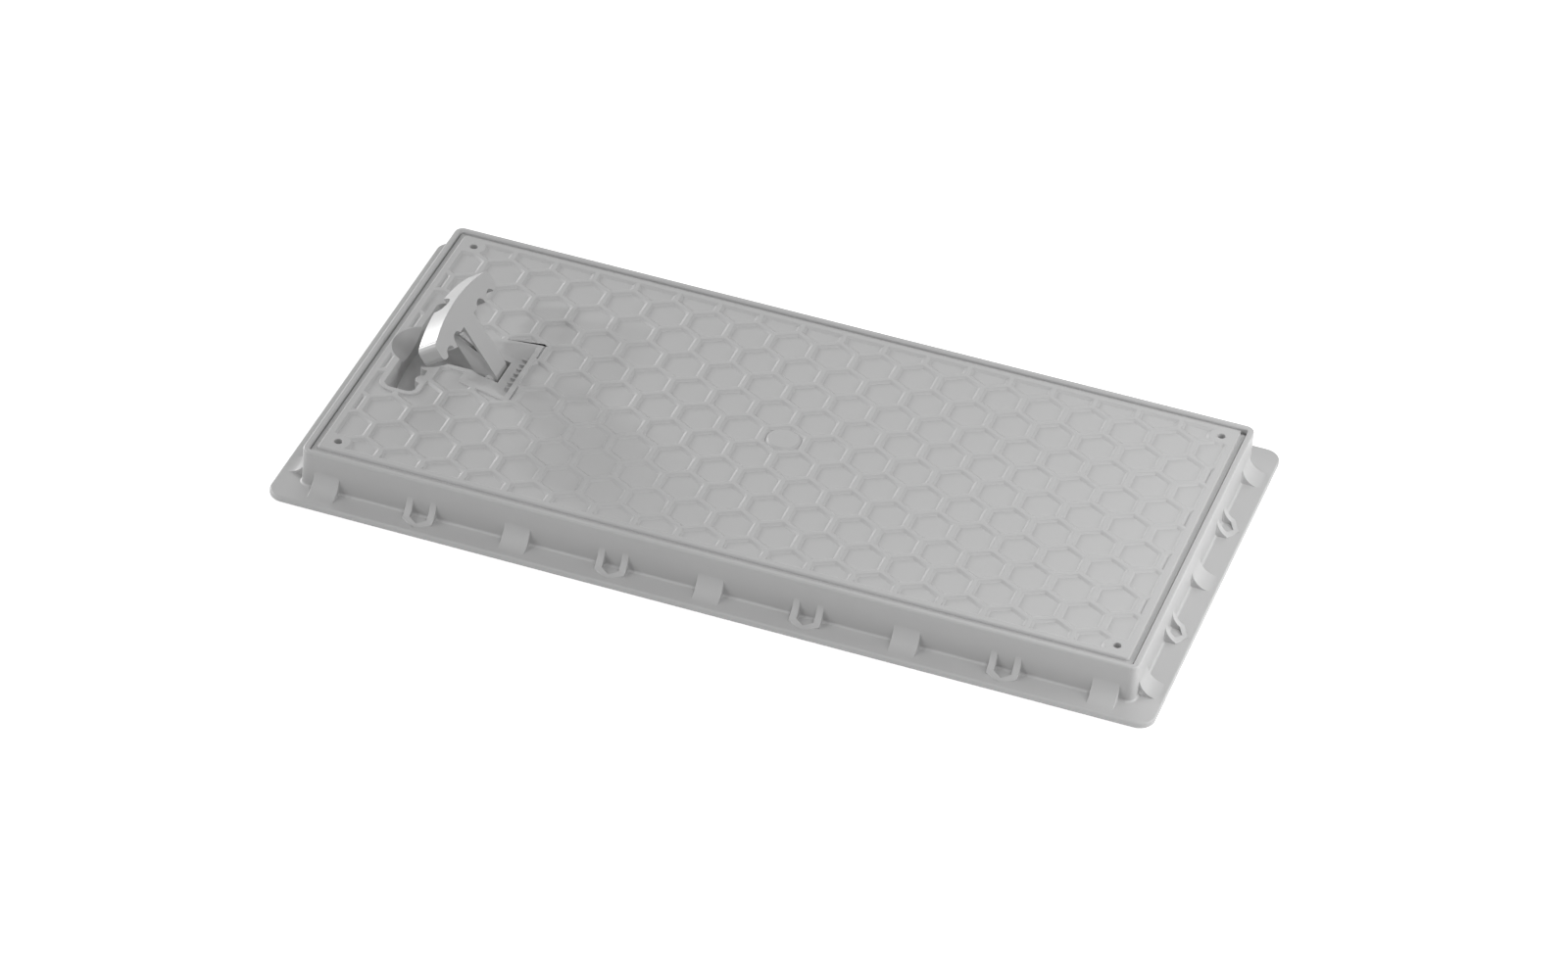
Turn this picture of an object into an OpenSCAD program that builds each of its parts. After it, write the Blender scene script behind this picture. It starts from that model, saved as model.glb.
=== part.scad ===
// Inspection cover: a moulded frame, the lid that rests in it and the T-shaped
// lifting handle that folds flat into a recess of the lid.
// Origin: centre of the frame's underside. +X is the long side, +Z is up.

/* [Frame] */
// Length of the frame's rim, outside
rim_len = 600; // [560:1:660]
// Width of the frame's rim, outside
rim_wid = 300; // [280:1:340]
// Height from the underside of the flange to the top of the rim
frame_h = 34; // [32:0.5:44]
// Thickness of the frame's upright wall
wall_t = 4.5; // [3.5:0.1:5.5]
// Outer radius of the wall's upright corners
wall_corner_r = 6.5; // [6:0.1:9]
// How far the flange stands out beyond the rim at the two ends
flange_out_x = 18; // [17:0.5:30]
// How far the flange stands out beyond the rim at the two sides
flange_out_y = 19; // [17:0.5:30]
// Thickness of the flange
flange_t = 5; // [4:0.1:7]
// Corner radius of the flange
flange_corner_r = 12; // [8:0.5:16]
// Rounding of the rim's and the flange's edges
edge_r = 1.4; // [0.6:0.1:1.8]
// Fillet between the wall and the flange
wall_foot_r = 2; // [1:0.1:3]
// Width of the ledge that the lid rests on
ledge_w = 10; // [8:0.5:10]
// Thickness of the ledge
ledge_t = 4; // [3:0.1:5]
// Thickness of the ribs under the ledge
ledge_rib_t = 3; // [2:0.1:4]

/* [Gussets and pockets round the wall] */
// Spacing of gussets and pockets along the long sides
pitch_long = 70; // [60:0.5:72]
// Spacing of gussets and pockets along the short sides
pitch_short = 65; // [56:0.5:67]
// Radius of the hollow face of the gussets and pockets
hollow_r = 14.5; // [12:0.5:16]
// Width of a solid gusset
gusset_w = 19; // [14:0.5:22]
// Outside width of an open pocket
pocket_w = 22; // [18:0.5:26]
// Thickness of a pocket's sides
pocket_side_t = 5; // [3:0.1:6]
// Distance from the wall to the corners of a pocket's pointed front
pocket_shoulder = 8.2; // [6:0.1:9]

/* [Lid] */
// Gap round the lid's raised panel, inside the rim
groove_w = 4; // [3:0.1:5]
// Depth of that groove
groove_d = 2.2; // [2:0.1:4]
// Clearance between the lid's lip and the frame
lid_gap = 0.5; // [0.4:0.1:1.2]
// Height of the lid's edge, from its seat to its top
lid_edge_h = 18; // [16:0.5:20]
// Thickness of the lid's top plate
plate_t = 4; // [3.5:0.1:5]
// Thickness of the skirt and of the ribs under the lid
skirt_t = 4; // [3:0.1:5]
// Thickness of the cross ribs under the lid
lid_rib_t = 3; // [2:0.1:4]
// How far the cross ribs reach below the lid's seat
rib_drop = 2; // [0.5:0.5:4]
// Widest spacing of the cross ribs under the lid
rib_pitch = 56; // [40:1:60]
// Rounding of the lid's top edge
lid_edge_r = 1.6; // [0.8:0.1:1.8]
// Size of the lip's cut-off corner, which lets a lifting tool in
pry_cut = 4.5; // [4.2:0.1:6]

/* [Honeycomb tread] */
// Side of one honeycomb cell, from rib centre to rib centre
cell_side = 18; // [15:0.25:22]
// Width of a tread rib at its top
tread_top_w = 3; // [2:0.1:4]
// Width of a tread rib at its foot
tread_foot_w = 7; // [5:0.1:8]
// Height of the tread ribs
tread_h = 1.3; // [0.8:0.1:2]
// Plain border round the tread
border_w = 5.2; // [4:0.1:8]
// Diameter of the plain disc in the middle cell
disc_d = 21.5; // [16:0.5:22]

/* [Fixing holes] */
// Distance from the outside of the rim to the rows of holes
hole_inset = 20; // [19:0.5:26]
// Diameter of the four holes in the lid
hole_d = 5.8; // [5:0.1:8]
// Diameter of the plain boss round a hole
hole_boss_d = 17; // [14:0.5:19]
// Diameter of the pilot hole in the frame's lug
pilot_d = 4; // [3:0.1:6]
// Size of the lug in each corner of the ledge
lug_side = 26; // [22:0.5:30]

/* [Handle] */
// Distance from the end of the lid's panel to the hinge
hinge_inset = 77; // [76.5:0.5:110]
// Depth of the hinge axis below the lid's top
hinge_depth = 7.6; // [7.4:0.1:8.4]
// How far the folded handle lies below the lid's top
face_drop = 1.1; // [0.5:0.1:1.3]
// Angle of the handle above the lid, as it stands here
open_angle = 54; // [0:1:90]
// Reach from the hinge to the middle of the grip's curved edge
grip_reach = 61.9; // [56:0.1:62.4]
// Width of the grip, end to end
grip_w = 102; // [90:1:108]
// Radius of the grip's curved edge
grip_r = 180; // [140:5:300]
// Distance from the hinge to the grip's back edge
grip_back = 41; // [38:0.2:42]
// Rounding of the grip's ends
grip_end_r = 5; // [3:0.1:6]
// Thickness of the grip's top
grip_top_t = 3.5; // [3:0.1:5]
// Depth of the grip, with its top
grip_depth = 15.5; // [12:0.5:16]
// Thickness of the grip's walls
grip_wall_t = 3.5; // [2.5:0.1:4]
// Radius of the notch in the middle of the grip's front wall
notch_r = 9; // [6:0.1:9.2]
// Width of the arm
arm_w = 19; // [14:0.2:22]
// Thickness of the arm's top
arm_top_t = 2; // [1.6:0.1:3]
// Thickness of the arm's two side webs
web_t = 3; // [2:0.1:4]
// Depth of the arm, with its top
arm_depth = 13.5; // [12:0.1:15]
// Radius of the arm's round heel
heel_r = 6; // [5:0.1:6.1]
// Diameter of the hinge pin
pin_d = 4; // [3:0.1:5]
// Clearance of the pin in the handle, on the diameter
pin_gap = 0.6; // [0.4:0.1:1]
// Length of the hinge pin
pin_len = 46; // [44:1:50]

/* [Handle recess] */
// Clearance in front of the grip
recess_gap = 1.7; // [1.6:0.1:4]
// Clearance beside the grip's ends
recess_end_gap = 4; // [2:0.1:5]
// Clearance behind the grip and its hollows
back_gap = 1; // [0.8:0.1:1.6]
// Clearance on each side of the arm
slot_gap = 3.5; // [2:0.1:4]
// Clearance round the arm's heel
heel_gap = 1.3; // [1:0.1:2]
// Depth of the recess
recess_d = 19.5; // [18:0.1:20]
// Thickness of the recess's walls and floor
recess_wall = 3; // [2:0.1:4]
// Radius of the four round knobs on the recess's wall, which the grip's hollows pass
knob_r = 5; // [4:0.1:6]
// Distance of the inner knobs from the middle
knob_near = 22; // [20:0.5:24]
// Distance of the outer knobs from the middle
knob_far = 38; // [36:0.5:40]
// How far the straight top edge in front of the grip lies inside the recess's curve
front_in = 0.8; // [0:0.1:2]
// How far that side slopes inwards on its way to the floor
front_slope = 6; // [4:0.2:7]
// Width of the dish round the hinge at its wide end
dish_w = 67; // [56:1:70]
// Width of the dish at its narrow end
dish_end_w = 51; // [46:1:54]
// Width of the dish's floor
dish_floor_w = 38; // [32:1:42]
// Depth of the dish at its upright wall
dish_d = 7.5; // [6:0.1:8.5]
// Depth of the dish at its narrow end
dish_end_d = 2.4; // [1:0.1:3]
// Distance from the hinge to the dish's upright wall
dish_out = 19.8; // [16:0.5:22]
// Distance from the hinge to the dish's narrow end
dish_in = 12; // [10:0.5:14]
// Radius of the round finger scoop at the lid's top
scoop_r = 24.6; // [18:0.2:25]
// Depth of the finger scoop
scoop_d = 14; // [8:0.5:15]
// Distance from the scoop's centre to the grip's curved edge
scoop_in = 10.9; // [10:0.1:14]
// Width of the plain lip round the recess
lip_w = 4; // [3:0.1:6]

/* [Hidden] */
$fn = 72;

// Smallest step, and how far a cutter reaches past what it cuts or a piece into the one it joins
eps = 0.01;
over = 1;
flange_len = rim_len + 2 * flange_out_x;
flange_wid = rim_wid + 2 * flange_out_y;
// Room inside the wall
inner_len = rim_len - 2 * wall_t;
inner_wid = rim_wid - 2 * wall_t;
inner_corner_r = wall_corner_r - wall_t;
seat_z = frame_h - lid_edge_h;
shaft_len = inner_len - 2 * ledge_w;
shaft_wid = inner_wid - 2 * ledge_w;
// Lid: lip beside the frame, panel inside the groove, tread inside the border
lip_len = inner_len - 2 * lid_gap;
lip_wid = inner_wid - 2 * lid_gap;
panel_len = inner_len - 2 * groove_w;
panel_wid = inner_wid - 2 * groove_w;
panel_corner_r = 2.5;
plate_len = panel_len - 2 * lid_edge_r;
plate_wid = panel_wid - 2 * lid_edge_r;
tread_len = panel_len - 2 * border_w;
tread_wid = panel_wid - 2 * border_w;
hole_span_x = rim_len - 2 * hole_inset;
hole_span_y = rim_wid - 2 * hole_inset;
plate_z = frame_h - plate_t;
lip_z = frame_h - groove_d;
rib_clear = 1.5;
least_corner_r = 0.5;
// Gussets and pockets on each side of the middle one
long_half = 4;
short_half = 2;
// A cell is left out where less than this much of it would show
cell_rest = 4;
cell_pitch = cell_side * sqrt(3);
row_pitch = cell_side * 1.5;
flank = (tread_foot_w - tread_top_w) / 2;
// Handle, seen from its own hinge: the arm points to -X when it is folded
hinge_x = panel_len / 2 - hinge_inset;
hinge_z = frame_h - hinge_depth;
face_z = hinge_depth - face_drop;
grip_arc_x = grip_r - grip_reach;
grip_end_y = grip_w / 2 - grip_end_r;
grip_end_x = sqrt(pow(grip_r - grip_end_r, 2) - pow(grip_end_y, 2)) - grip_arc_x;
// Middle of the knobs; the inner ones stand a little further out
knobs = [[-grip_back - 0.4, knob_near], [-grip_back + 1.6, knob_far]];
// The grip's back edge runs a little further out beside the arm
arm_step = 3;
// Rib inside each half of the grip
grip_rib_t = 2;
// How far the arm runs into the grip, and the slope at its webs' end
arm_root = 5;
web_slope = 3;
// Places along the webs, as parts of their length, and the depth of the window's tip
web_bend = 0.66;
window_near = 0.49;
window_far = 0.89;
window_tip = 0.87;
window_d = 9.4;
// Where the webs' lower edge enters the heel, as a part of its radius
web_foot = 0.75;
collar_t = 2;
// Recess, seen from the hinge
slot_w = arm_w + 2 * slot_gap;
recess_wid = grip_w + 2 * recess_end_gap;
recess_reach = grip_reach + recess_gap;
recess_back = grip_back - back_gap;
front_edge = recess_reach - front_in;
front_d = recess_d - 3;
front_corner_r = 7;
floor_z = frame_h - recess_d;
dish_z = frame_h - dish_d;
dish_end_run = 5;
scoop_x = grip_reach - scoop_in;
scoop_lip = 1;
scoop_ball_r = (pow(scoop_r, 2) + pow(scoop_d, 2)) / (2 * scoop_d);
hub_gap = 0.3;
tooth_pitch = 6;
tooth_w = 1.6;
tooth_len = 6;
tooth_h = 3;

// A rectangle with round corners, about the middle
module round_rect(l, w, r) {
    square([l - 2 * r, w], center = true);
    square([l, w - 2 * r], center = true);
    for (sx = [-1, 1], sy = [-1, 1]) translate([sx * (l / 2 - r), sy * (w / 2 - r)]) circle(r);
}

// Sweeps a profile round a rectangle with round corners; the profile's x points outwards
module ring(l, w, r) {
    for (k = [0:3]) {
        along = (k % 2 == 0 ? l : w) / 2 - r;
        out = (k % 2 == 0 ? w : l) / 2;
        rotate(90 * k) translate([-along, out, 0]) rotate([90, 0, 90]) linear_extrude(2 * along) children();
        mid = k % 2 == 0 ? [l / 2 - r, w / 2 - r, 0] : [w / 2 - r, l / 2 - r, 0];
        rotate(90 * k) translate(mid) rotate_extrude(angle = 90) translate([r, 0]) children();
    }
}

// A bar's section with its corners rounded, from x0 to 0 and z0 to z1
module edge_section(x0, z0, z1, r_out, r_in) {
    difference() {
        translate([x0, z0]) square([-x0, z1 - z0]);
        corner_cut(0, z1, r_out, 1, 1);
        corner_cut(x0, z1, r_in, -1, 1);
    }
}

// What a fillet takes off a corner at (x, z); sx and sz say which way the corner points
module corner_cut(x, z, r, sx, sz) {
    translate([x, z]) scale([sx, sz]) difference() {
        translate([-r, -r]) square(r + over);
        translate([-r, -r]) circle(r);
    }
}

// The hollow section that all gussets and pockets share; x points away from the wall
module hollow_section() {
    difference() {
        translate([-over, -over]) square(hollow_r + over);
        translate([hollow_r, hollow_r]) circle(hollow_r);
    }
}

// A bar of the hollow section, of the given length, on the flange at a wall that faces -Y
module hollow_bar(len) {
    translate([-len / 2, 0, flange_t]) rotate([90, 0, 90])
        linear_extrude(len) mirror([1, 0]) hollow_section();
}

// Plan of a pocket: two sides and a pointed front, a half hexagon
module pocket_plan(w, shoulder) {
    point = shoulder + w / 2 * tan(30);
    polygon([[-w / 2, over], [-w / 2, -shoulder], [0, -point], [w / 2, -shoulder], [w / 2, over]]);
}

module gusset() {
    hollow_bar(gusset_w);
}

module pocket() {
    inner_w = pocket_w - 2 * pocket_side_t;
    intersection() {
        hollow_bar(pocket_w);
        translate([0, 0, flange_t - over]) linear_extrude(hollow_r + 2 * over) difference() {
            pocket_plan(pocket_w, pocket_shoulder);
            translate([0, over + eps]) pocket_plan(inner_w, pocket_shoulder - over);
        }
    }
}

// Gussets and pockets take turns along one side, with a gusset in the middle
module side_row(pitch, half_count, wall_y) {
    for (i = [-half_count:half_count]) {
        translate([i * pitch, -wall_y, 0]) {
            if (i % 2 == 0) gusset();
            else pocket();
        }
    }
}

module frame_shell() {
    // Flange with its rounded edge
    linear_extrude(flange_t)
        round_rect(flange_len - 2 * edge_r, flange_wid - 2 * edge_r, flange_corner_r - edge_r);
    ring(flange_len, flange_wid, flange_corner_r) difference() {
        edge_section(-2 * edge_r, 0, flange_t, edge_r, eps);
        corner_cut(0, 0, edge_r, 1, -1);
    }
    // Wall with its rounded rim and the fillet at its foot
    ring(rim_len, rim_wid, wall_corner_r) {
        edge_section(-wall_t, 0, frame_h, edge_r, edge_r);
        translate([-eps, flange_t - eps]) difference() {
            square(wall_foot_r);
            translate([wall_foot_r, wall_foot_r]) circle(wall_foot_r);
        }
    }
}

// Four lugs in the corners of the ledge, under the lid's holes
module corner_lugs() {
    for (sx = [-1, 1], sy = [-1, 1])
        translate([sx * (inner_len - lug_side) / 2, sy * (inner_wid - lug_side) / 2, seat_z - ledge_t])
            linear_extrude(ledge_t) square(lug_side + over, center = true);
}

module frame() color("#b4b4b4") difference() {
    union() {
        difference() {
            frame_shell();
            translate([0, 0, -over]) linear_extrude(seat_z) round_rect(inner_len, inner_wid, inner_corner_r);
        }
        difference() {
            union() {
                translate([0, 0, seat_z - ledge_t]) linear_extrude(ledge_t)
                    square([inner_len + wall_t, inner_wid + wall_t], center = true);
                // Upright ribs that carry the ledge, one between each gusset and pocket
                for (sy = [-1, 1], i = [-long_half:long_half - 1])
                    translate([(i + 0.5) * pitch_long, sy * (inner_wid - ledge_w + over) / 2, seat_z / 2])
                        cube([ledge_rib_t, ledge_w + over, seat_z], center = true);
                for (sx = [-1, 1], j = [-short_half:short_half - 1])
                    translate([sx * (inner_len - ledge_w + over) / 2, (j + 0.5) * pitch_short, seat_z / 2])
                        cube([ledge_w + over, ledge_rib_t, seat_z], center = true);
            }
            translate([0, 0, -over]) linear_extrude(frame_h) square([shaft_len, shaft_wid], center = true);
        }
        corner_lugs();
        for (s = [0, 180]) rotate(s) side_row(pitch_long, long_half, rim_wid / 2);
        for (s = [90, 270]) rotate(s) side_row(pitch_short, short_half, rim_len / 2);
    }
    for (sx = [-1, 1], sy = [-1, 1])
        translate([sx * hole_span_x / 2, sy * hole_span_y / 2, seat_z - ledge_t - over])
            cylinder(h = ledge_t + 2 * over, d = pilot_d);
}

// Honeycomb cell: a hexagonal hollow with sloping flanks, made of three crossed bars
module tread_cell() {
    half_foot = (cell_pitch - tread_foot_w) / 2;
    half_top = (cell_pitch - tread_top_w) / 2;
    intersection_for (a = [0, 60, 120])
        rotate(a) rotate([90, 0, 0]) linear_extrude(2 * cell_side, center = true)
            polygon([
                [-half_foot, -tread_h], [half_foot, -tread_h],
                [half_top + flank, tread_h], [-half_top - flank, tread_h]
            ]);
}

// The tread's outline, with flanks that slope as the ribs do
module tread_field() {
    intersection() {
        rotate([90, 0, 0]) linear_extrude(panel_wid, center = true) field_section(tread_len / 2);
        rotate([90, 0, 90]) linear_extrude(panel_len, center = true) field_section(tread_wid / 2);
    }
}

module field_section(half) {
    polygon([
        [-half + flank, -tread_h], [half - flank, -tread_h],
        [half + flank, tread_h], [-half - flank, tread_h]
    ]);
}

// Everything that the tread's cells take out of the lid's top
module tread() {
    rows = ceil(tread_wid / 2 / row_pitch);
    columns = ceil(tread_len / 2 / cell_pitch);
    translate([0, 0, frame_h]) difference() {
        intersection() {
            for (j = [-rows:rows], i = [-columns - 1:columns]) {
                x = (i + (j % 2 == 0 ? 0 : 0.5)) * cell_pitch;
                y = j * row_pitch;
                shows_x = abs(x) - cell_pitch / 2 < tread_len / 2 - cell_rest;
                shows_y = abs(y) - cell_side < tread_wid / 2 - cell_rest;
                if (shows_x && shows_y) translate([x, y, 0]) tread_cell();
            }
            tread_field();
        }
        for (sx = [-1, 1], sy = [-1, 1])
            translate([sx * hole_span_x / 2, sy * hole_span_y / 2, 0]) plain_boss(hole_boss_d);
        plain_boss(disc_d);
        translate([-hinge_x, 0, -tread_h - over]) linear_extrude(tread_h + 2 * over) recess_lip_plan();
    }
}

// A round place that stays at the lid's full height, with a sloping side
module plain_boss(d) {
    translate([0, 0, -tread_h - eps])
        cylinder(h = 2 * tread_h, r1 = d / 2 + flank, r2 = d / 2 - flank + eps);
}

// Plan of the grip's place in the lid, seen from the hinge, grown by g
module recess_plan(g) {
    intersection() {
        translate([grip_arc_x, 0]) circle(grip_r + recess_gap + g, $fn = 360);
        translate([-(recess_reach + recess_back) / 2, 0])
            round_rect(recess_reach - recess_back + 2 * g, recess_wid + 2 * g, grip_end_r + g);
    }
}

// Plan of the arm's slot, which ends in front of the dish's wall
module slot_plan(g) {
    reach = recess_back + over;
    translate([-reach, -slot_w / 2 - g]) square([reach + heel_r + heel_gap + g, slot_w + 2 * g]);
}

// Plan of the dish round the hinge, grown by g
module dish_plan(g) {
    polygon([
        [-dish_in - g, -dish_end_w / 2 - g], [dish_out + g, -dish_w / 2 - g],
        [dish_out + g, dish_w / 2 + g], [-dish_in - g, dish_end_w / 2 + g]
    ]);
}

module recess_lip_plan() {
    recess_plan(lip_w);
    translate([-(front_edge + recess_back) / 2, 0])
        round_rect(front_edge - recess_back + 2 * lip_w, recess_wid + 2 * lip_w, front_corner_r + lip_w);
    slot_plan(lip_w);
    dish_plan(lip_w);
    translate([-scoop_x, 0]) circle(scoop_r + scoop_lip);
}

// The dish has three sloping sides, an upright wall and a floor that falls towards that wall
module hinge_dish() {
    hull() {
        translate([0, 0, frame_h]) linear_extrude(over) dish_plan(0);
        translate([-dish_in + dish_end_run, 0, frame_h - dish_end_d])
            cube([eps, dish_floor_w, eps], center = true);
        translate([dish_out - eps / 2, 0, dish_z]) cube([eps, dish_floor_w, eps], center = true);
    }
}

// Low ribs at the foot of the dish's wall
module dish_teeth() {
    count = floor(dish_floor_w / 2 / tooth_pitch);
    for (i = [-count:count])
        translate([dish_out - tooth_len, (i + 1 / 3) * tooth_pitch - tooth_w / 2, dish_z - over])
            cube([tooth_len + over, tooth_w, tooth_h + over]);
}

// The sloping side in front of the grip, with round ends
module front_side() {
    middle = (grip_reach + grip_back) / 2;
    intersection() {
        rotate([90, 0, 0]) linear_extrude(recess_wid, center = true) polygon([
            [-front_edge - over * front_slope / front_d, frame_h + over],
            [-front_edge + front_slope, frame_h - front_d],
            [-middle, frame_h - front_d], [-middle, frame_h + over]
        ]);
        translate([-front_edge / 2, 0, floor_z]) linear_extrude(recess_d + 2 * over)
            round_rect(front_edge + over, recess_wid, front_corner_r);
    }
}

// The hollow that takes the folded handle
module handle_recess() {
    translate([-hinge_x, 0, 0]) {
        difference() {
            translate([0, 0, floor_z]) linear_extrude(recess_d + over) recess_plan(0);
            // Round knobs on the wall behind the grip
            for (s = [-1, 1], k = knobs)
                translate([k[0], s * k[1], floor_z - over]) cylinder(h = recess_d + 3 * over, r = knob_r);
        }
        translate([0, 0, floor_z]) linear_extrude(recess_d + over) slot_plan(0);
        front_side();
        difference() {
            hinge_dish();
            dish_teeth();
        }
        // Round scoop in front of the grip
        translate([-scoop_x, 0, frame_h + scoop_ball_r - scoop_d]) sphere(scoop_ball_r);
    }
}

// Walls and floor of the recess, under the lid's plate
module recess_box() {
    box_z = floor_z - recess_wall;
    translate([-hinge_x, 0, box_z]) linear_extrude(plate_z - box_z + eps) {
        recess_plan(recess_wall);
        slot_plan(recess_wall);
        translate([-(front_edge + recess_back) / 2, 0])
            square([front_edge - recess_back, recess_wid + 2 * recess_wall], center = true);
    }
    // Walls of the dish
    translate([-hinge_x, 0, dish_z - recess_wall]) linear_extrude(plate_z - dish_z + recess_wall + eps) {
        dish_plan(0);
        translate([dish_out, 0]) square([2 * recess_wall, dish_w], center = true);
    }
    // Thick place under the scoop, which ends at the skirt
    translate([-hinge_x, 0, seat_z]) linear_extrude(plate_z - seat_z + eps) intersection() {
        translate([-scoop_x, 0]) circle(scoop_r);
        translate([hinge_x - lip_len / 2, -scoop_r]) square(2 * scoop_r);
    }
}

// Ribs that stiffen the lid from below
module lid_ribs() {
    across = 2 * floor(lip_len / 2 / rib_pitch) + 1;
    along = 2 * floor(lip_wid / 2 / rib_pitch) + 1;
    step_x = lip_len / (across + 1);
    step_y = lip_wid / (along + 1);
    difference() {
        translate([0, 0, seat_z - rib_drop]) linear_extrude(plate_z - seat_z + rib_drop + eps) {
            for (i = [1:across])
                translate([-lip_len / 2 + i * step_x, 0])
                    square([lid_rib_t, lip_wid - skirt_t], center = true);
            for (j = [1:along])
                translate([0, -lip_wid / 2 + j * step_y])
                    square([lip_len - skirt_t, lid_rib_t], center = true);
        }
        // The ribs stop short of the frame's ledge and lugs
        translate([0, 0, seat_z - rib_drop - over]) linear_extrude(rib_drop + over) difference() {
            square([lip_len, lip_wid], center = true);
            square([shaft_len - 2 * rib_clear, shaft_wid - 2 * rib_clear], center = true);
        }
    }
}

module lid() color("#b6b6b6") difference() {
    union() {
        // Lip and skirt
        difference() {
            translate([0, 0, seat_z]) linear_extrude(lip_z - seat_z)
                round_rect(lip_len, lip_wid, max(inner_corner_r - lid_gap, least_corner_r));
            translate([0, 0, seat_z - over]) linear_extrude(plate_z - seat_z + over)
                square([lip_len - 2 * skirt_t, lip_wid - 2 * skirt_t], center = true);
        }
        // Top plate with its rounded edge
        translate([0, 0, plate_z]) linear_extrude(plate_t)
            round_rect(plate_len, plate_wid, panel_corner_r - lid_edge_r + eps);
        translate([0, 0, plate_z]) linear_extrude(lip_z - plate_z + eps)
            square([plate_len, plate_wid], center = true);
        ring(panel_len, panel_wid, panel_corner_r)
            edge_section(-lid_edge_r - 0.2, lip_z - eps, frame_h, lid_edge_r, eps);
        lid_ribs();
        recess_box();
        // Columns round the fixing holes
        for (sx = [-1, 1], sy = [-1, 1])
            translate([sx * hole_span_x / 2, sy * hole_span_y / 2, seat_z])
                cylinder(h = plate_z - seat_z + eps, d = hole_boss_d);
    }
    tread();
    handle_recess();
    for (sx = [-1, 1], sy = [-1, 1])
        translate([sx * hole_span_x / 2, sy * hole_span_y / 2, seat_z - over])
            cylinder(h = lid_edge_h + 2 * over, d = hole_d);
    // Bores for the hinge pin
    translate([-hinge_x, 0, hinge_z]) rotate([90, 0, 0]) cylinder(h = pin_len, d = pin_d, center = true);
    // Corner of the lip that is cut away
    translate([lip_len / 2 - pry_cut, lip_wid / 2 - pry_cut, seat_z - over])
        cube([pry_cut + over, pry_cut + over, lip_z - seat_z + over]);
}

// Plan of the grip: a bar with a curved front, round ends and hollows that pass the lid's knobs
module grip_face() {
    difference() {
        union() {
            intersection() {
                translate([grip_arc_x, 0]) circle(grip_r, $fn = 360);
                translate([-grip_reach - over, -grip_end_y])
                    square([grip_reach + over - grip_back, 2 * grip_end_y]);
            }
            for (s = [-1, 1]) {
                translate([-grip_end_x, s * grip_end_y]) circle(grip_end_r);
                translate([-grip_back - grip_end_r, s * grip_end_y]) circle(grip_end_r);
                translate([-(grip_end_x + grip_back + grip_end_r) / 2, s * (grip_end_y + grip_end_r / 2)])
                    square([grip_end_x - grip_back - grip_end_r, grip_end_r], center = true);
            }
        }
        for (s = [-1, 1], k = knobs) translate([k[0], s * k[1]]) circle(knob_r + back_gap);
        translate([-grip_back - arm_step, -knob_near]) square([arm_step + over, 2 * knob_near]);
    }
}

// Room inside the grip, open below
module grip_hollow() {
    back = knob_r + back_gap + grip_wall_t / 2 - knobs[0][0];
    low = arm_w / 2;
    high = grip_end_y - grip_wall_t;
    rib_y = (low + high) / 2;
    cell_w = rib_y - grip_rib_t / 2 - low;
    intersection() {
        translate([grip_arc_x, 0]) circle(grip_r - grip_wall_t, $fn = 360);
        for (y = [-high, -rib_y + grip_rib_t / 2, low, rib_y + grip_rib_t / 2])
            translate([-grip_reach, y]) square([grip_reach - back, cell_w]);
    }
}

module grip() {
    difference() {
        translate([0, 0, face_z - grip_depth]) linear_extrude(grip_depth) grip_face();
        translate([0, 0, face_z - grip_depth - over])
            linear_extrude(grip_depth - grip_top_t + over) grip_hollow();
        // Notch in the middle, in line with the scoop
        translate([-grip_reach, 0, face_z - grip_depth]) rotate([0, 90, 0])
            cylinder(h = 3 * grip_wall_t, r = notch_r, center = true);
    }
}

// Side view of the arm's web, with its three-cornered window
module web_side() {
    reach = grip_back + arm_root;
    low = face_z - arm_depth;
    window_z = face_z - arm_top_t;
    difference() {
        union() {
            polygon([
                [0, face_z], [-reach, face_z], [-reach, face_z - grip_depth],
                [-reach + web_slope, face_z - grip_depth], [-reach * web_bend, low],
                [-2 * heel_r, low], [0, -heel_r * web_foot]
            ]);
            circle(heel_r);
        }
        polygon([
            [-reach * window_near, window_z], [-reach * window_far, window_z],
            [-reach * window_tip, face_z - window_d]
        ]);
    }
}

module arm() {
    length = grip_back + arm_root;
    translate([-length, -arm_w / 2, face_z - arm_top_t]) cube([length, arm_w, arm_top_t]);
    for (s = [-1, 1]) translate([0, s * (arm_w - web_t) / 2, 0]) rotate([90, 0, 0])
        linear_extrude(web_t, center = true) web_side();
    rotate([90, 0, 0]) cylinder(h = arm_w, r = heel_r, center = true);
    // Collars that keep the arm midway between the lid's lugs
    rotate([90, 0, 0]) cylinder(h = slot_w - 2 * hub_gap, r = pin_d / 2 + collar_t, center = true);
}

module handle() color("#b2b2b2")
    translate([-hinge_x, 0, hinge_z]) rotate([0, open_angle, 0]) difference() {
        union() {
            grip();
            arm();
        }
        rotate([90, 0, 0]) cylinder(h = slot_w + 2 * over, d = pin_d + pin_gap, center = true);
    }

module hinge_pin() color("#c8cacc")
    translate([-hinge_x, 0, hinge_z]) rotate([90, 0, 0]) cylinder(h = pin_len, d = pin_d, center = true);

frame();
lid();
handle();
hinge_pin();
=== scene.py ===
import math

import bmesh
import bpy
from mathutils import Matrix, Vector


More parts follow.
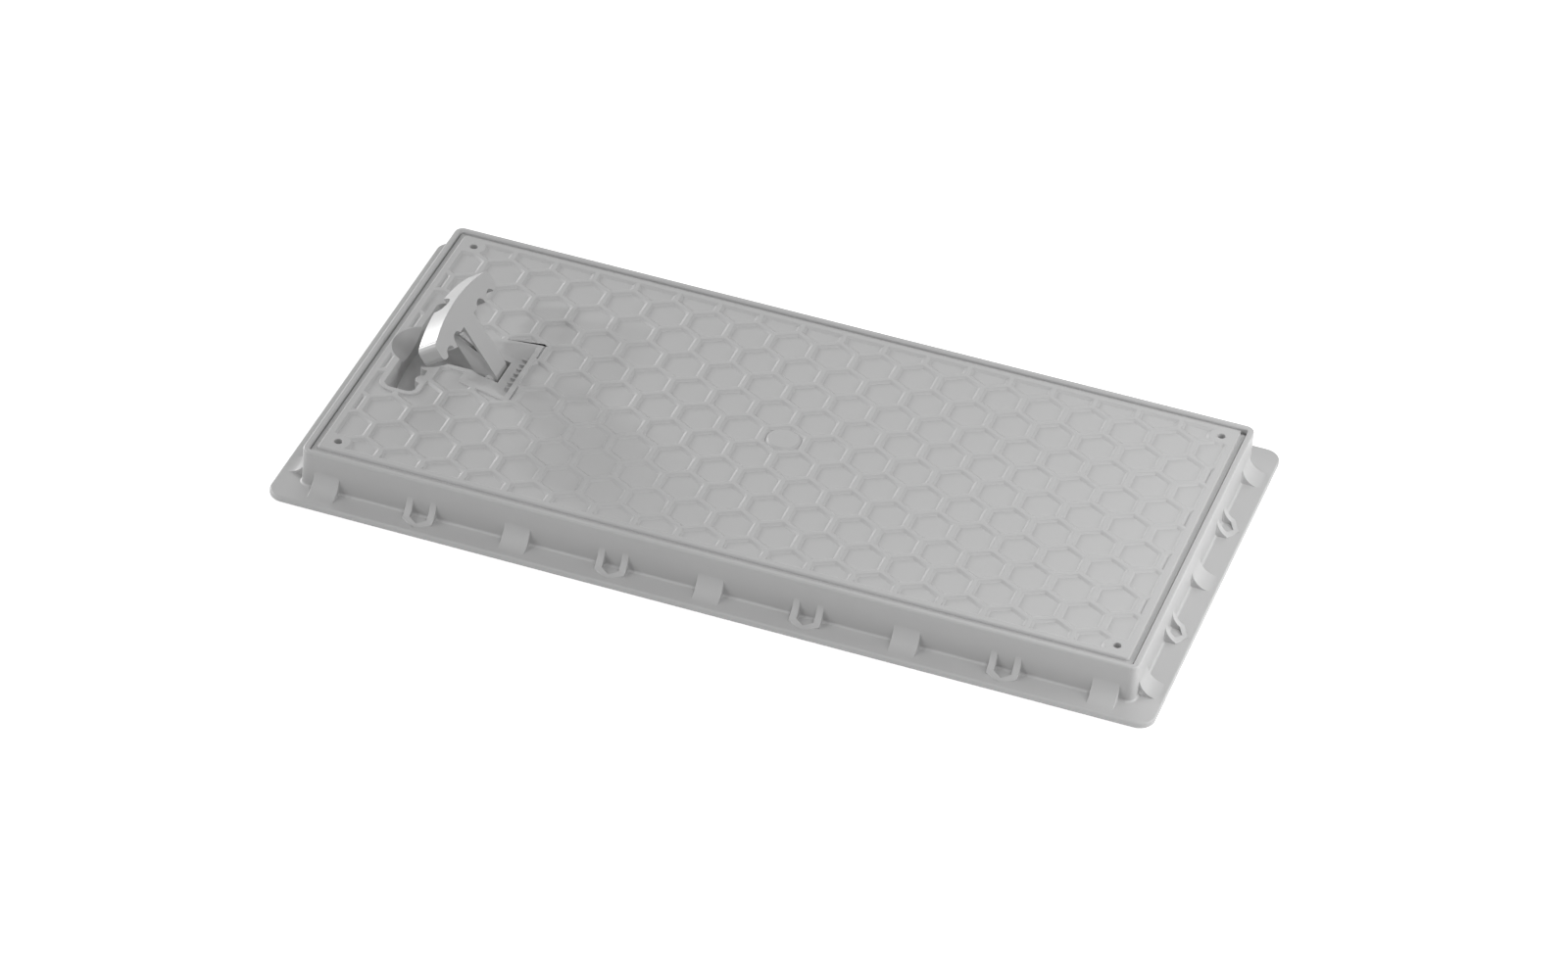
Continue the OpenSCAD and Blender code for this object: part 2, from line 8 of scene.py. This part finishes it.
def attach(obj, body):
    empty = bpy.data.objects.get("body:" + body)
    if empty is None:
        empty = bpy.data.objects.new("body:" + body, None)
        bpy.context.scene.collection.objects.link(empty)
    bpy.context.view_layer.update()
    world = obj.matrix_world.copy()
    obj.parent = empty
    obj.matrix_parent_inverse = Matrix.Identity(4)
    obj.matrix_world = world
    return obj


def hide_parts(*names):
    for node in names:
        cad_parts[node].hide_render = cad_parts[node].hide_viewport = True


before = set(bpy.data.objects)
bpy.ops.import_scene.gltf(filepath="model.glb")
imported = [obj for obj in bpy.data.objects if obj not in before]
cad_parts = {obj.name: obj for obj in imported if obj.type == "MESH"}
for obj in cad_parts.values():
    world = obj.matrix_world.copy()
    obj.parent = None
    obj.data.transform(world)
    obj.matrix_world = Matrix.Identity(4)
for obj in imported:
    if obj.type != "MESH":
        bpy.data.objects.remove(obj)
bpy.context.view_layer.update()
scene = bpy.context.scene

# The view.
# A long lens stands well back to the right of the near side, and leans over by a few degrees.
# It is aimed close to the middle of the cover, and keeps everything in focus.
view_turn = math.radians(15.773)
view_tilt = math.radians(36.256)
view_lean = math.radians(5.036)
view_distance = 4.4394
view_aim = Vector((0.0068, -0.0148, 0.0120))
camera = bpy.data.objects.new("camera", bpy.data.cameras.new("camera"))
camera.data.lens = 147.0
camera.data.sensor_width = 36.0
camera.data.sensor_fit = "HORIZONTAL"
camera.data.clip_end = 100.0
view_direction = (
    Matrix.Rotation(view_turn, 4, "Z")
    @ Matrix.Rotation(math.pi / 2 - view_tilt, 4, "X")
    @ Matrix.Rotation(view_lean, 4, "Z")
)
camera.matrix_world = (
    Matrix.Translation(view_aim) @ view_direction @ Matrix.Translation((0, 0, view_distance))
)
scene.collection.objects.link(camera)
scene.camera = camera


# The frame.
# One injection moulding in light grey polypropylene: a wall with a flange, gussets and pockets.
# Its mould was milled, so every outer corner is slightly round, and it has a fine satin grain.
frame_grey = "#b8b8b8"
frame_gloss_spread = 0.42
frame_soft_edge = 0.0006


def linear(shade):
    """The linear colour of an sRGB hex value."""
    levels = [int(shade[i : i + 2], 16) / 255 for i in (1, 3, 5)]
    return [v / 12.92 if v <= 0.04045 else ((v + 0.055) / 1.055) ** 2.4 for v in levels] + [1]


def add(material, kind, settings=None, links=None):
    """Adds a node to a material, sets its values and joins its inputs to other nodes' outputs."""
    node = material.node_tree.nodes.new(kind)
    for name, value in (settings or {}).items():
        if name in node.inputs:
            node.inputs[name].default_value = value
        else:
            setattr(node, name, value)
    for name, source in (links or {}).items():
        material.node_tree.links.new(source, node.inputs[name])
    return node


def moulded_polypropylene(name, shade, gloss_spread):
    """Satin injection-moulded polypropylene: an even grey, faint flow marks and a fine grain.

    The flow marks are as wide as the melt's fronts, and change the grey and the gloss a little.
    The real spark-eroded grain is 0.15 mm, too fine to show here, so it is drawn at 0.9 mm and
    very low, which gives the same soft broken gloss.
    """
    flow_mark = 0.09
    grey_swing = 0.03
    gloss_swing = 0.04
    grain = 0.0009
    grain_height = 0.00006
    grain_strength = 0.25
    material = bpy.data.materials.new(name)
    material.use_nodes = True
    material.node_tree.nodes.clear()
    place = add(material, "ShaderNodeTexCoord").outputs["Object"]
    flow_size = {"Scale": 1 / flow_mark, "Detail": 3.0}
    flow = add(material, "ShaderNodeTexNoise", flow_size, {"Vector": place}).outputs["Fac"]
    # In a colour mix, input 0 is the share, 6 and 7 are the two colours, and output 2 is the mix
    colour = add(material, "ShaderNodeMix", {"data_type": "RGBA"}, {0: flow})
    colour.inputs[6].default_value = [v * (1 - grey_swing) for v in linear(shade)[:3]] + [1]
    colour.inputs[7].default_value = [v * (1 + grey_swing) for v in linear(shade)[:3]] + [1]
    grain_size = {"Scale": 1 / grain, "Detail": 2.0}
    speckle = add(material, "ShaderNodeTexNoise", grain_size, {"Vector": place}).outputs["Fac"]
    relief = add(
        material,
        "ShaderNodeBump",
        {"Strength": grain_strength, "Distance": grain_height},
        {"Height": speckle},
    )
    sheen = add(
        material,
        "ShaderNodeMapRange",
        {"To Min": gloss_spread - gloss_swing, "To Max": gloss_spread + gloss_swing},
        {"Value": flow},
    )
    surface = add(
        material,
        "ShaderNodeBsdfPrincipled",
        {"IOR": 1.49},
        {
            "Base Color": colour.outputs[2],
            "Roughness": sheen.outputs["Result"],
            "Normal": relief.outputs["Normal"],
        },
    )
    add(material, "ShaderNodeOutputMaterial", {}, {0: surface.outputs[0]})
    return material


def softened(node, name, edge_radius, sharp_from=24):
    """A copy of a CAD node, with its doubles merged and its sharp outer edges rounded.

    An edge is sharp from this many degrees on. Sharp inner corners stay crisp.
    """
    doubles_within = 0.000004
    flat_within = math.radians(0.6)
    form = bmesh.new()
    form.from_mesh(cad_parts[node].data)
    bmesh.ops.remove_doubles(form, verts=form.verts, dist=doubles_within)
    bmesh.ops.dissolve_limit(form, angle_limit=flat_within, verts=form.verts, edges=form.edges)
    folds = [edge for edge in form.edges if edge.is_manifold]
    sharp = [edge for edge in folds if edge.calc_face_angle() > math.radians(sharp_from)]
    for edge in sharp:
        edge.smooth = edge.is_convex
    bmesh.ops.bevel(
        form,
        geom=[edge for edge in sharp if edge.is_convex],
        offset=edge_radius,
        offset_type="OFFSET",
        segments=2,
        profile=0.5,
        affect="EDGES",
        clamp_overlap=False,
        material=-1,
        harden_normals=False,
    )
    for face in form.faces:
        face.smooth = True
    mesh = bpy.data.meshes.new(name)
    form.to_mesh(mesh)
    form.free()
    piece = bpy.data.objects.new(name, mesh)
    scene.collection.objects.link(piece)
    # Large faces stay flat to the eye up to the rounding of their edges
    flat_faces = piece.modifiers.new("flat_faces", "WEIGHTED_NORMAL")
    flat_faces.mode = "FACE_AREA"
    flat_faces.weight = 80
    flat_faces.keep_sharp = True
    return piece


frame_plastic = moulded_polypropylene(
    "moulded_polypropylene_frame", frame_grey, frame_gloss_spread
)
frame_moulding = softened("frame", "frame_moulding", frame_soft_edge)
frame_moulding.data.materials.append(frame_plastic)
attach(frame_moulding, "cover")
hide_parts("frame")

# The lid.
# The same polypropylene, moulded in a second tool, and dropped into the frame on its skirt.
# The honeycomb ribs have drafted flanks, and the mould has left their edges softly round.
lid_grey = "#b8b8b8"
lid_gloss_spread = 0.40
lid_soft_edge = 0.0004
# The shallow edges of the dish round the hinge stay as they are
lid_sharp_from = 30
lid_plastic = moulded_polypropylene("moulded_polypropylene_lid", lid_grey, lid_gloss_spread)
lid_moulding = softened("lid", "lid_moulding", lid_soft_edge, lid_sharp_from)
lid_moulding.data.materials.append(lid_plastic)
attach(lid_moulding, "cover")
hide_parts("lid")

# The handle.
# A T-shaped lever moulded in one piece, with a cored grip and a webbed arm, on a pin in the lid.
# Hands have polished it a little. Its thin ribs leave room for a small rounding only.
handle_grey = "#b6b6b6"
handle_gloss_spread = 0.36
handle_soft_edge = 0.0002
handle_plastic = moulded_polypropylene(
    "moulded_polypropylene_handle", handle_grey, handle_gloss_spread
)
handle_moulding = softened("handle", "handle_moulding", handle_soft_edge)
handle_moulding.data.materials.append(handle_plastic)
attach(handle_moulding, "handle")
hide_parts("handle")

# The hinge pin.
# A short drawn stainless pin, pressed into the side walls of the lid's slot, that the arm turns on.
# Drawing leaves fine lines along it and a bright, slightly spread reflection.
draw_line = 0.0003
draw_length = 0.012
draw_depth = 0.00002
pin_steel = bpy.data.materials.new("drawn_stainless_steel")
pin_steel.use_nodes = True
pin_steel.node_tree.nodes.clear()
pin_place = add(pin_steel, "ShaderNodeTexCoord").outputs["Object"]
pin_scale = (1 / draw_line, 1 / draw_length, 1 / draw_line)
pin_lines = add(pin_steel, "ShaderNodeMapping", {"Scale": pin_scale}, {"Vector": pin_place})
pin_noise = add(
    pin_steel,
    "ShaderNodeTexNoise",
    {"Scale": 1.0, "Detail": 3.0},
    {"Vector": pin_lines.outputs["Vector"]},
)
pin_spread = add(
    pin_steel,
    "ShaderNodeMapRange",
    {"To Min": 0.22, "To Max": 0.38},
    {"Value": pin_noise.outputs["Fac"]},
)
pin_relief = add(
    pin_steel,
    "ShaderNodeBump",
    {"Strength": 0.3, "Distance": draw_depth},
    {"Height": pin_noise.outputs["Fac"]},
)
pin_surface = add(
    pin_steel,
    "ShaderNodeBsdfPrincipled",
    {"Base Color": linear("#c6c8ca"), "Metallic": 1.0},
    {"Roughness": pin_spread.outputs["Result"], "Normal": pin_relief.outputs["Normal"]},
)
add(pin_steel, "ShaderNodeOutputMaterial", {}, {0: pin_surface.outputs[0]})
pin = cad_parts["hinge_pin"]
pin.data.materials.clear()
pin.data.materials.append(pin_steel)

# The ground and the studio.
# A white sweep that is white to the eye whatever falls on it, and still keeps the cover's shadow.
# Low lamps light the handle's end and two panels the plain end, so the near side is darker.
ground_white = "#fbfbfb"
ground_half = 14.0
# A little below the cover, so that the two flat faces never share a plane
ground_drop = 0.0001
ground_form = bmesh.new()
bmesh.ops.create_grid(
    ground_form,
    x_segments=1,
    y_segments=1,
    size=ground_half,
    matrix=Matrix.Translation((0.0, 0.0, -ground_drop)),
)
ground_mesh = bpy.data.meshes.new("ground")
ground_form.to_mesh(ground_mesh)
ground_form.free()
ground = bpy.data.objects.new("ground", ground_mesh)
scene.collection.objects.link(ground)


def seen_by_eye(place):
    """1 for rays that show a thing to the eye, straight on or in a gloss or a glass.

    It is 0 for the rays that carry the thing's light to other faces.
    """
    path = add(place, "ShaderNodeLightPath")
    gloss = {0: path.outputs["Is Camera Ray"], 1: path.outputs["Is Glossy Ray"]}
    straight = add(place, "ShaderNodeMath", {"operation": "ADD"}, gloss)
    through = {0: straight.outputs[0], 1: path.outputs["Is Transmission Ray"]}
    seen = add(place, "ShaderNodeMath", {"operation": "ADD", "use_clamp": True}, through)
    return seen.outputs[0]


ground_glow = 0.5
ground_paint = bpy.data.materials.new("white_sweep")
ground_paint.use_nodes = True
ground_paint.node_tree.nodes.clear()
lit = add(ground_paint, "ShaderNodeBsdfDiffuse", {"Color": linear(ground_white)})
glow_look = {"Color": linear("#ffffff"), "Strength": ground_glow}
glow = add(ground_paint, "ShaderNodeEmission", glow_look)
plain = add(ground_paint, "ShaderNodeEmission", {"Strength": 0.0})
extra = add(
    ground_paint,
    "ShaderNodeMixShader",
    {},
    {0: seen_by_eye(ground_paint), 1: plain.outputs[0], 2: glow.outputs[0]},
)
both = add(ground_paint, "ShaderNodeAddShader", {}, {0: lit.outputs[0], 1: extra.outputs[0]})
add(ground_paint, "ShaderNodeOutputMaterial", {}, {0: both.outputs[0]})
ground.data.materials.append(ground_paint)

room_level = 0.1
room = bpy.data.worlds.new("studio")
scene.world = room
room.use_nodes = True
room.node_tree.nodes.clear()
white_look = {"Color": linear("#ffffff"), "Strength": 1.0}
light_look = {"Color": linear("#ffffff"), "Strength": room_level}
room_light = add(room, "ShaderNodeBackground", light_look)
room_white = add(room, "ShaderNodeBackground", white_look)
room_mix = add(
    room,
    "ShaderNodeMixShader",
    {},
    {0: seen_by_eye(room), 1: room_light.outputs[0], 2: room_white.outputs[0]},
)
add(room, "ShaderNodeOutputWorld", {}, {0: room_mix.outputs[0]})


def soft_sun(name, turn, tilt, level, spread):
    """A lamp far off, as wide as its spread in degrees.

    It stands at a turn about +Z, from -Y towards -X, and at a tilt above the ground. Its level is
    what it adds to a white face that is turned towards it.
    """
    lamp = bpy.data.lights.new(name, "SUN")
    lamp.energy = level * math.pi
    lamp.angle = math.radians(spread)
    holder = bpy.data.objects.new(name, lamp)
    about_z = Matrix.Rotation(-math.radians(turn), 4, "Z")
    about_x = Matrix.Rotation(math.radians(90 - tilt), 4, "X")
    holder.matrix_world = about_z @ about_x
    scene.collection.objects.link(holder)


for lamp_name, lamp_turn, lamp_tilt, lamp_level, lamp_spread in (
    ("handle_end_low_lamp", 71, 20, 0.20, 4),
    ("handle_end_near_lamp", 55, 30, 0.20, 4),
    ("handle_end_far_lamp", 120, 12, 0.48, 9),
    ("high_screen", 315, 55, 0.33, 30),
    ("far_screen", 180, 32, 0.08, 30),
):
    soft_sun(lamp_name, lamp_turn, lamp_tilt, lamp_level, lamp_spread)


def soft_panel(name, place, width, height, power):
    """A lit panel by the cover's plain end, whose light falls off along the near side."""
    panel_aim = Vector((0.22, 0.0, 0.03))
    lamp = bpy.data.lights.new(name, "AREA")
    lamp.shape = "RECTANGLE"
    lamp.size = width
    lamp.size_y = height
    lamp.energy = power
    holder = bpy.data.objects.new(name, lamp)
    facing = (panel_aim - place).to_track_quat("-Z", "Y").to_matrix().to_4x4()
    holder.matrix_world = Matrix.Translation(place) @ facing
    holder.visible_camera = False
    scene.collection.objects.link(holder)


soft_panel("plain_end_near_panel", Vector((0.6, 0.0, 0.2)), 0.4, 0.2, 0.55)
soft_panel("plain_end_far_panel", Vector((1.2, 0.0, 0.5)), 0.6, 0.6, 4.6)

scene.view_settings.view_transform = "Standard"
